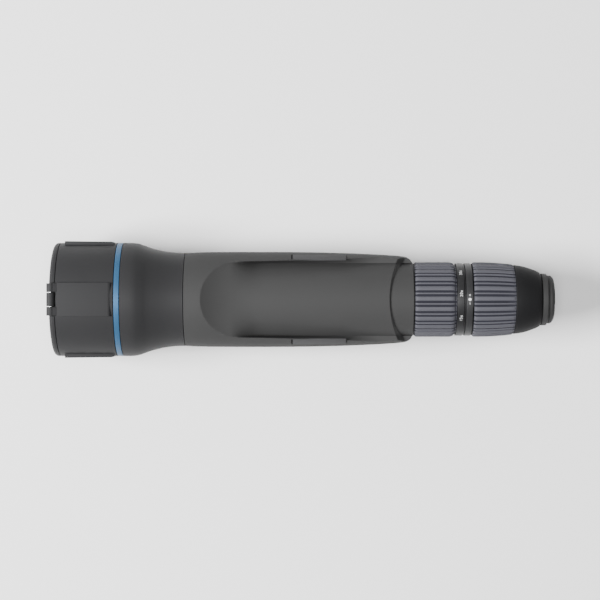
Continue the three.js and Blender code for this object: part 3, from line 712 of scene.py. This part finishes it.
def casing():
    """The cast body's mouth, its hidden cone and waist, and the collar that shows behind the scoop."""
    outline = [
        (-108.5, 27.2), (-108.5, 27.9), (-96.6, 27.9), (-96.5, 28.7), (-92, 28.7), (-85.8, 27.3),
        (-79, 25.1), (-69, 23.4), (-60, 22.6), (-50, 17.6), (-42, 15.8), (43, 15.8),
        (43.4, COLLAR_RADIUS - 0.3), (43.7, COLLAR_RADIUS), (61.4, COLLAR_RADIUS),
        (61.9, COLLAR_RADIUS - 0.45), (61.9, SLEEVE_BORE), (46.5, SLEEVE_BORE), (46.5, 15), (-44, 15),
        (-52, 17), (-60, 20.8), (-74, 22), (-82.5, 24.2), (-89, 26.3), (-92.2, 27.2),
    ]
    return turned("casing_tube", outline, COLLAR_RUBBER, 160)


def foot():
    """The tripod foot: a block with rounded corners, hollowed to lie under the body."""
    corner = 6
    half = 13
    front, rear = FOOT_FRONT, FOOT_REAR
    outline = []
    for cx, cy, start in ((rear - corner, half - corner, 0), (front + corner, half - corner, 90),
                          (front + corner, corner - half, 180), (rear - corner, corner - half, 270)):
        for step in range(9):
            turn = math.radians(start + step * 90 / 8)
            outline.append((cx + corner * math.cos(turn), cy + corner * math.sin(turn)))
    middle = (front + rear) / 2
    rings = []
    for height, inset in ((-AXIS_Z + 0.02, 0.5), (-AXIS_Z + 0.5, 0.02), (-AXIS_Z + 3, 0.02), (-20.5, 5.8)):
        shrink_x = 1 - inset / ((rear - front) / 2)
        shrink_y = 1 - min(inset, 0.5) / half if inset < 1 else 1
        rings.append([Vector((middle + (x - middle) * shrink_x, y * shrink_y, height)) for x, y in outline])
    piece = to_object("foot_block", grid_solid(rings), BODY_RUBBER)
    ends = (front - 9, rear + 9)
    saddle = [(ends[0], 0), (ends[0], SADDLE_RADIUS), (ends[1], SADDLE_RADIUS), (ends[1], 0)]
    combine(piece, turned_mesh(saddle, 192), "DIFFERENCE")
    socket = rod((FOOT_SOCKET, 0, -AXIS_Z - 1), (FOOT_SOCKET, 0, -AXIS_Z + 8.3), 5.75, 64)
    combine(piece, socket, "DIFFERENCE")
    for x in FOOT_SCREWS:
        combine(piece, rod((x, 0, -AXIS_Z - 1), (x, 0, -AXIS_Z + 3.8), 3), "DIFFERENCE")
    return piece


def foot_screw(name, x):
    """A socket-head screw with its shank."""
    floor = -AXIS_Z
    piece = to_object(name, rod((x, 0, floor + 1), (x, 0, floor + 3.5), 2.7, fillet=0.3), STEEL)
    combine(piece, rod((x, 0, floor + 3), (x, 0, -21), 1.4, sides=24), "UNION")
    combine(piece, rod((x, 0, floor), (x, 0, floor + 2.3), 1.3, sides=6), "DIFFERENCE")
    return piece


def bushing():
    """The brass tripod socket, with its thread cut as rings."""
    floor = -AXIS_Z
    bm = bmesh.new()
    outline = [(0.4, 5.2), (0.7, 5.5), (8, 5.5), (8, 0.01), (6.2, 0.01), (6, 2.7)]
    pitch = 1.27
    for turn in range(4):
        start = 5.6 - turn * pitch
        outline += [(start, 2.7), (start - pitch / 2, 3.15), (start - pitch + 0.05, 2.7)]
    outline += [(0.4, 3.4)]
    sides = 64
    rings = []
    for height, radius in outline:
        ring = []
        for j in range(sides):
            turn = 2 * math.pi * j / sides
            along, across = radius * math.cos(turn), radius * math.sin(turn)
            ring.append(bm.verts.new((FOOT_SOCKET + along, across, floor + height)))
        rings.append(ring)
    for low, high in zip(rings, rings[1:] + rings[:1]):
        for j in range(sides):
            k = (j + 1) % sides
            bm.faces.new((low[j], low[k], high[k], high[j]))
    return to_object("tripod_socket", bm, BRASS)


def body():
    """The bell, the grip, the casing, the side plates and the foot."""
    stands_for(bell(), "scope_body", "hood_shell", "objective_bell")
    stands_for(grip(), "scope_body", "body_rubber", "grip_armour")
    stands_for(casing(), "scope_body", "body_metal", "body_casing")
    for hand, side in (("left", 1), ("right", -1)):
        plate = to_object(f"side_plate_{hand}", pocket_mesh(side, 0), LABEL)
        stands_for(plate, "scope_body", "panel_plate", f"side_panel_{hand}")
    stands_for(foot(), "scope_body", "body_rubber", "tripod_foot")
    stands_for(bushing(), "scope_body", "cam_brass", "tripod_bushing")
    for node, x in zip(("foot_screw_front", "foot_screw_rear"), FOOT_SCREWS):
        stands_for(foot_screw(node + "_socket_head", x), "scope_body", "bright_steel", node)


# ---------------------------------------------------------------- ribbed rings

def rib_share(angle):
    """How far a ribbed ring stands proud at an angle, from 0 in a groove to 1 on the crown of a rib."""
    pitch = 2 * math.pi / RIB_COUNT
    place = (angle - RIB_TURN + pitch / 2) % pitch - pitch / 2
    wide = abs(place)
    narrow = abs(abs(place) - pitch / 2)
    past_edge = min(wide - WIDE_RIB, narrow - NARROW_RIB)
    crown = 1 - 0.3 * min(wide / WIDE_RIB, narrow / NARROW_RIB, 1) ** 2
    return crown * (1 - smoothstep(past_edge, -0.01, 0.012))


def rib_angles():
    """Angles round a ring, close together on the flanks of the ribs."""
    pitch = 2 * math.pi / RIB_COUNT
    flank = (-0.01, -0.005, 0, 0.004, 0.008, 0.012)
    low = pitch / 2 - NARROW_RIB
    half = [0, WIDE_RIB * 0.35, WIDE_RIB * 0.65, low + NARROW_RIB / 2, pitch / 2]
    half += [WIDE_RIB + step for step in flank]
    half += [low - step for step in flank]
    local = sorted({-value for value in half} | set(half))[:-1]
    return [RIB_TURN + i * pitch + value for i in range(RIB_COUNT) for value in local]


def ribbed_ring(name, front, rear, crest_of, plain_front, plain_rear=0.0):
    """A rubber sleeve with ribs that round off at both ends, with painted shade in the grooves between the
    ribs.
    """
    angles = rib_angles()
    ramp = [0, 0.12, 0.3, 0.55, 0.85, RIB_ROUNDING]
    xs = [front + value for value in ramp]
    xs += [front + RIB_ROUNDING + (rear - front - 2 * RIB_ROUNDING) * i / 14 for i in range(1, 14)]
    xs += [rear - value for value in reversed(ramp)]
    bm = bmesh.new()
    rows = []
    for x in xs:
        from_end = min(x - front - plain_front, rear - plain_rear - x)
        swell = math.sqrt(max(0, 1 - (1 - min(1, max(0, from_end) / RIB_ROUNDING)) ** 2))
        crest = crest_of(x)
        row = []
        for angle in angles:
            radius = crest - RIB_DEPTH + RIB_DEPTH * rib_share(angle) * swell
            row.append(bm.verts.new(around(x, radius, angle)))
        rows.append(row)
    bores = [[bm.verts.new(around(x, GRIP_BORE, angle)) for angle in angles] for x in (xs[0], xs[-1])]
    rows = [bores[0], *rows, bores[1]]
    for low, high in zip(rows, rows[1:] + rows[:1]):
        for j in range(len(angles)):
            k = (j + 1) % len(angles)
            face = bm.faces.new((low[j], low[k], high[k], high[j]))
            step = (angles[k] - angles[j]) % (2 * math.pi)
            # Faces deep in a groove take the second material, the painted shade; the rest take the ribbed
            # rubber.
            face.material_index = int(rib_share(angles[j] + step / 2) < 0.45)
    piece = to_object(name, bm, RIB_RUBBER, 38)
    piece.data.materials.append(GROOVE_PAINTED_SHADE)
    return piece


def zoom_crest(x):
    """The radius of the zoom ring's ribs at a station."""
    return 20.5 - max(0, x - 82.6) * 0.22


def focus_crest(x):
    """The radius of the focus ring's ribs at a station."""
    away = max(0, x - 98.5)
    return 20.5 - 0.0032 * away ** 2 - 0.008 * away


def printed(name, text, x, angle):
    """White print wrapped round the scale ring. It reads along +Y, with its top toward the objective."""
    data = bpy.data.curves.new(name, "FONT")
    data.body = text
    data.size = 2.2
    data.align_x = "CENTER"
    data.align_y = "CENTER"
    data.offset = -0.02
    data.space_character = 1.12
    data.extrude = 0.03
    data.resolution_u = 3
    writing = bpy.data.objects.new(name + "_curve", data)
    bpy.context.scene.collection.objects.link(writing)
    bpy.context.view_layer.update()
    mesh = bpy.data.meshes.new_from_object(writing.evaluated_get(bpy.context.evaluated_depsgraph_get()))
    bpy.data.objects.remove(writing)
    bm = bmesh.new()
    bm.from_mesh(mesh)
    for vert in bm.verts:
        along, up, height = vert.co
        vert.co = around(x - up, RING_RADIUS + 0.012 + height, angle - along / RING_RADIUS)
    stands_for(to_object(name, bm, INK, 60), "zoom_drum", "ring_metal")


def index_mark(name, outline):
    """A small raised mark on the index ring. Its outline points are (x, arc length toward +Y)."""
    bm = bmesh.new()
    top = [bm.verts.new(around(x, RING_RADIUS + 0.05, -along / RING_RADIUS)) for x, along in outline]
    base = [bm.verts.new(around(x, RING_RADIUS - 0.05, -along / RING_RADIUS)) for x, along in outline]
    bm.faces.new(top)
    bm.faces.new(base)
    for j in range(len(outline)):
        k = (j + 1) % len(outline)
        bm.faces.new((top[j], top[k], base[k], base[j]))
    stands_for(to_object(name, bm, INK, 60), "scope_body", "ring_metal")


def rings():
    """The zoom, scale, index and focus rings, with their marks."""
    zoom = ribbed_ring("zoom_grip_rubber", 62.3, 84.8, zoom_crest, 0.45, 0.7)
    stands_for(zoom, "zoom_drum", "ribbed_rubber", "zoom_grip")
    focus = ribbed_ring("focus_grip_rubber", 94.15, 116.85, focus_crest, 0.35)
    stands_for(focus, "focus_collar", "ribbed_rubber", "focus_grip")
    scale = rounded([
        (85.2, GRIP_BORE), (85.2, RING_RADIUS, 0.25), (88.75, RING_RADIUS, 0.15), (88.95, 19.55, 0.1),
        (89.6, 19.55, 0.1), (89.6, GRIP_BORE),
    ])
    stands_for(turned("scale_band", scale, RING_METAL, 160), "zoom_drum", "ring_metal", "zoom_scale_ring")
    index = rounded([
        (89.9, SLEEVE_BORE), (89.9, RING_RADIUS, 0.25), (93.5, RING_RADIUS, 0.25), (93.5, SLEEVE_BORE),
    ])
    stands_for(turned("index_band", index, INDEX_METAL, 160), "scope_body", "ring_metal", "index_ring")
    for text, degrees in (("30x", -47), ("20x", -9.4), ("15x", 30.5)):
        printed("zoom_mark_" + text, text, 87.2, math.radians(degrees))
    mark_x = 91.7
    dot_radius = 0.8
    turns = [t * math.pi / 12 for t in range(24)]
    dot = [(mark_x + dot_radius * math.cos(turn), dot_radius * math.sin(turn)) for turn in turns]
    index_mark("index_dot", dot)
    arm, half = 0.48, 0.11
    plus = [
        (-half, -arm), (half, -arm), (half, -half), (arm, -half), (arm, half), (half, half), (half, arm),
        (-half, arm), (-half, half), (-arm, half), (-arm, -half), (-half, -half),
    ]
    minus = [(-half, -arm), (half, -arm), (half, arm), (-half, arm)]
    index_mark("index_plus", [(mark_x + x, 2.35 + y) for x, y in plus])
    index_mark("index_minus", [(mark_x + x, -2.25 + y) for x, y in minus])


# ---------------------------------------------------------------- eyepiece and lenses

def eyepiece():
    """The eyepiece shell and the eyecup."""
    curve = smooth_curve([(117.45, 18.95), (120.4, 18.62), (123.7, 17.87), (126.5, 16.98), (129.2, 15.95),
                          (130.7, 15.2)], 6)
    shell = [(117.2, SLEEVE_BORE), (117.2, 18.8), *curve, (131.25, 14.85), (131.55, 14.6), (131.7, 14.25),
             (131.7, 12.75), (131.4, 12.7), (124, 12.7), (120.4, 16), (120.4, SLEEVE_BORE)]
    cone = turned("eyepiece_cone", shell, EYE_BLACK, 160)
    stands_for(cone, "scope_body", "eyepiece_black", "eyepiece_shell")
    cup = rounded([
        (132.1, 12.6), (132.1, 14.23, 0.35), (135, 14.23, 0.3), (135.3, 13.0, 0.2), (135.8, 12.95, 0.2),
        (136.1, 13.2, 0.2), (137.3, 13.18, 0.6), (138.2, 12.45, 0.5), (138.7, 11.65, 0.4),
        (138.88, 11.05, 0.2), (138.88, 10.2, 0.3), (138.2, 9.92, 0.3), (136.9, 10.4, 0.2), (136.9, 12.6),
    ])
    stands_for(turned("eyecup_cushion", cup, CUP_RUBBER, 160, 40), "eyecup", "eyecup_rubber", "eyecup_rubber")
    sleeve = rounded([(121.3, 11.5), (121.3, 12.3, 0.2), (136.6, 12.3, 0.2), (136.6, 11.5)])
    stands_for(turned("eyecup_tube", sleeve, EYE_BLACK, 128), "eyecup", "eyepiece_black", "eyecup_sleeve")


def lens(name, front, rear, radius, bulge_front, bulge_rear, body, node):
    """A lens from the stations of its rim, its radius and how far each face bulges toward +X."""
    shares = [i / 16 for i in range(17)]
    outline = [(front + bulge_front * (1 - s * s), radius * s) for s in shares]
    outline += [(rear + bulge_rear * (1 - s * s), radius * s) for s in reversed(shares)]
    stands_for(turned(name, outline, GLASS, 96), body, "coated_glass", node)


def optics():
    """The lenses, and the cells and rings that show around them."""
    lens("crown_glass", -104.6, -101.8, 25.3, -3.2, 2.4, "scope_body", "objective_crown_lens")
    lens("flint_glass", -100.4, -94.5, 25.3, 2.4, -0.5, "scope_body", "objective_flint_lens")
    lens("field_glass", 109.4, 110.6, 13.2, -1.6, 2.2, "ocular", "field_lens")
    lens("eye_glass", 124.5, 128.4, 8.5, -0.8, 1.2, "ocular", "eye_lens")
    retainer = rounded([(-106.3, 24.9), (-106.3, 26.7, 0.15), (-104.9, 26.7), (-104.9, 24.9, 0.3)])
    stands_for(turned("lens_retainer", retainer, DARK_METAL, 128), "scope_body", "body_metal",
               "objective_retaining_ring")
    ocular = [
        (101, 13.5), (101, 15.3), (116.6, 15.3), (118.6, 9.7), (130.8, 9.7), (131, 9.5), (131, 8.95),
        (130.85, 8.8), (124.2, 8.8), (124.2, 7.6), (119.5, 7.6), (115.6, 12.6), (111.2, 12.6), (111.2, 13.5),
    ]
    stands_for(turned("ocular_barrel", ocular, DARK_METAL, 128), "ocular", "body_metal", "ocular_cell")
    stop = rounded([(128.8, 7.4, 0.3), (128.8, 8.5), (130.6, 8.5, 0.2), (130.6, 7.6, 0.6)])
    stands_for(turned("ocular_retainer", stop, DARK_METAL, 96), "ocular", "body_metal",
               "ocular_retaining_ring")


INNER_FINISHES = {
    "objective_spacer": DARK_METAL, "objective_cell": DARK_METAL, "light_baffle": DARK_METAL,
    "objective_o_ring": SEAL, "erector_guide_tube": DARK_METAL, "field_stop": DARK_METAL,
    "eyepiece_tube": DARK_METAL, "zoom_ring": DARK_METAL, "zoom_cam_tube": BRASS,
    "zoom_drive_screw": STEEL, "focus_ring": DARK_METAL, "ocular_pin": STEEL,
    "eyecup_carrier": DARK_METAL,
}


def inner_pieces():
    """The pieces inside keep their own shapes and get the finish of what they are made of."""
    looks = dict(INNER_FINISHES)
    for end in ("front", "rear"):
        looks[f"erector_{end}_cell"] = DARK_METAL
        looks[f"erector_{end}_lens"] = GLASS
        looks[f"erector_{end}_pin"] = STEEL
    for node, material in looks.items():
        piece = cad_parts[node]
        piece.data.materials.clear()
        piece.data.materials.append(material)


camera_at_the_top()
studio()
front_end()
body()
rings()
eyepiece()
optics()
inner_pieces()
